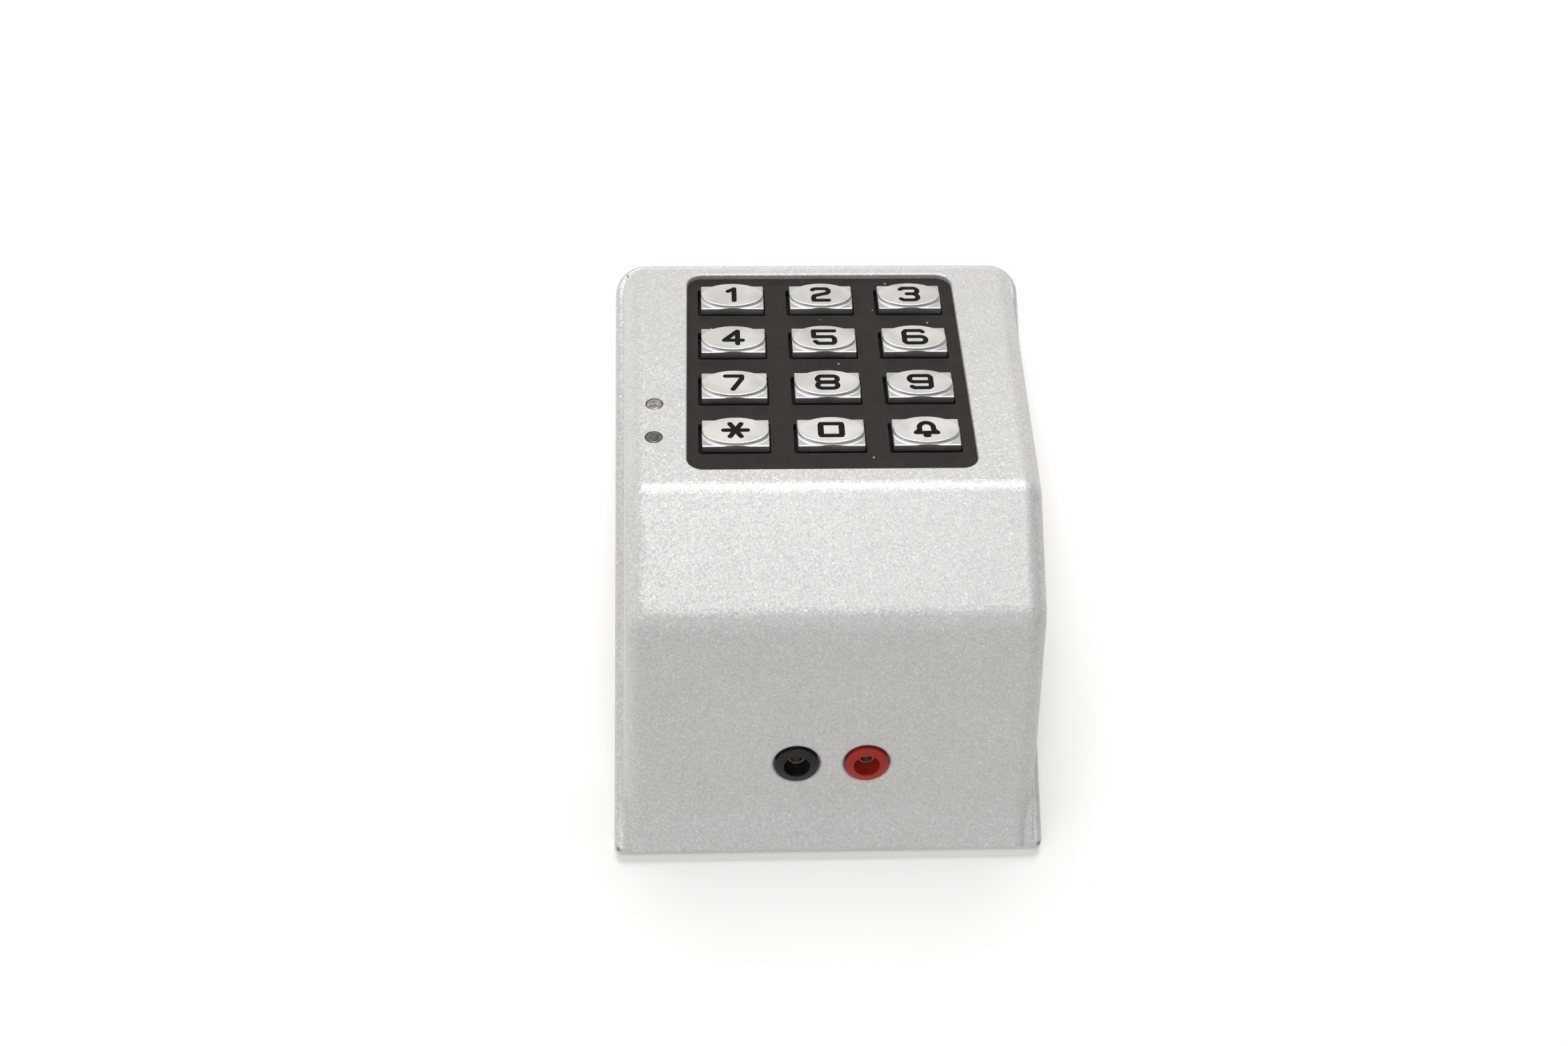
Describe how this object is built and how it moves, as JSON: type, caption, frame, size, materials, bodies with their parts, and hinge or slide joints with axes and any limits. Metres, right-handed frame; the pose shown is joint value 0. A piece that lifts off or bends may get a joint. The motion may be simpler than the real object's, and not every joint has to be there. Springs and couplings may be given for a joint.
{
  "type": "alarm keypad panel",
  "caption": "Wedge-shaped silver cast keypad cover with raised metal push keys, lamp windows and power contact sockets.",
  "frame": {"origin": "centre of the open back's plane, on which the cover lies", "axes": "+Z out of the front away from the door or wall, +Y towards the keypad end, +X to the right seen from the front"},
  "size_m": [0.0796, 0.115, 0.0416],
  "materials": {
    "sparkle_silver_paint": "silver metallic paint with sparkle flake, satin",
    "matte_dark_plate": "matte dark brown-black",
    "black_plastic": "moulded, semi-gloss",
    "red_plastic": "moulded, semi-gloss",
    "silicone": "grey silicone rubber",
    "board_laminate": "green solder mask",
    "zinc_steel": "zinc plated",
    "tinned_metal": "tinned",
    "contact_brass": "worn plated brass",
    "amber_grey_lens": "cloudy lens",
    "dark_green_lens": "dark lens",
    "black_insulation": "wire insulation",
    "red_insulation": "wire insulation",
    "capacitor_sleeve": "shrink sleeve",
    "header_nylon": "natural nylon",
    "satin_key_metal": "satin chrome",
    "legend_black": "black enamel filling"
  },
  "bodies": {
    "cover": {"front_housing": "sparkle_silver_paint", "keypad_plate": "matte_dark_plate", "keypad_frame": "black_plastic", "keypad_mat": "silicone", "circuit_board": "board_laminate", "board_screws": "zinc_steel", "lamp_upper": "amber_grey_lens", "lamp_lower": "dark_green_lens", "lamp_leads": "tinned_metal", "socket_body_black": "black_plastic", "socket_body_red": "red_plastic", "socket_contact_black": "contact_brass", "socket_contact_red": "contact_brass", "socket_washers": "zinc_steel", "socket_nuts": "zinc_steel", "socket_lead_black": "black_insulation", "socket_lead_red": "red_insulation", "controller_chip": "black_plastic", "chip_pins": "tinned_metal", "sounder": "black_plastic", "capacitor": "capacitor_sleeve", "resistors": "black_plastic", "cable_header": "header_nylon", "header_pins": "tinned_metal"},
    "key_1": {"key_1": "satin_key_metal", "legend_1": "legend_black"},
    "key_2": {"key_2": "satin_key_metal", "legend_2": "legend_black"},
    "key_3": {"key_3": "satin_key_metal", "legend_3": "legend_black"},
    "key_4": {"key_4": "satin_key_metal", "legend_4": "legend_black"},
    "key_5": {"key_5": "satin_key_metal", "legend_5": "legend_black"},
    "key_6": {"key_6": "satin_key_metal", "legend_6": "legend_black"},
    "key_7": {"key_7": "satin_key_metal", "legend_7": "legend_black"},
    "key_8": {"key_8": "satin_key_metal", "legend_8": "legend_black"},
    "key_9": {"key_9": "satin_key_metal", "legend_9": "legend_black"},
    "key_star": {"key_star": "satin_key_metal", "legend_star": "legend_black"},
    "key_0": {"key_0": "satin_key_metal", "legend_0": "legend_black"},
    "key_bell": {"key_bell": "satin_key_metal", "legend_bell": "legend_black"}
  },
  "joints": [
    {"name": "press_1", "type": "slide", "parent": "cover", "child": "key_1", "axis": [0, -0.5487, -0.836], "range_m": [0, 0.0012], "stiffness_N_per_m": 1500, "deforming": ["keypad_mat"]},
    {"name": "press_2", "type": "slide", "parent": "cover", "child": "key_2", "axis": [0, -0.5487, -0.836], "range_m": [0, 0.0012], "stiffness_N_per_m": 1500, "deforming": ["keypad_mat"]},
    {"name": "press_3", "type": "slide", "parent": "cover", "child": "key_3", "axis": [0, -0.5487, -0.836], "range_m": [0, 0.0012], "stiffness_N_per_m": 1500, "deforming": ["keypad_mat"]},
    {"name": "press_4", "type": "slide", "parent": "cover", "child": "key_4", "axis": [0, -0.5487, -0.836], "range_m": [0, 0.0012], "stiffness_N_per_m": 1500, "deforming": ["keypad_mat"]},
    {"name": "press_5", "type": "slide", "parent": "cover", "child": "key_5", "axis": [0, -0.5487, -0.836], "range_m": [0, 0.0012], "stiffness_N_per_m": 1500, "deforming": ["keypad_mat"]},
    {"name": "press_6", "type": "slide", "parent": "cover", "child": "key_6", "axis": [0, -0.5487, -0.836], "range_m": [0, 0.0012], "stiffness_N_per_m": 1500, "deforming": ["keypad_mat"]},
    {"name": "press_7", "type": "slide", "parent": "cover", "child": "key_7", "axis": [0, -0.5487, -0.836], "range_m": [0, 0.0012], "stiffness_N_per_m": 1500, "deforming": ["keypad_mat"]},
    {"name": "press_8", "type": "slide", "parent": "cover", "child": "key_8", "axis": [0, -0.5487, -0.836], "range_m": [0, 0.0012], "stiffness_N_per_m": 1500, "deforming": ["keypad_mat"]},
    {"name": "press_9", "type": "slide", "parent": "cover", "child": "key_9", "axis": [0, -0.5487, -0.836], "range_m": [0, 0.0012], "stiffness_N_per_m": 1500, "deforming": ["keypad_mat"]},
    {"name": "press_star", "type": "slide", "parent": "cover", "child": "key_star", "axis": [0, -0.5487, -0.836], "range_m": [0, 0.0012], "stiffness_N_per_m": 1500, "deforming": ["keypad_mat"]},
    {"name": "press_0", "type": "slide", "parent": "cover", "child": "key_0", "axis": [0, -0.5487, -0.836], "range_m": [0, 0.0012], "stiffness_N_per_m": 1500, "deforming": ["keypad_mat"]},
    {"name": "press_bell", "type": "slide", "parent": "cover", "child": "key_bell", "axis": [0, -0.5487, -0.836], "range_m": [0, 0.0012], "stiffness_N_per_m": 1500, "deforming": ["keypad_mat"]}
  ]
}
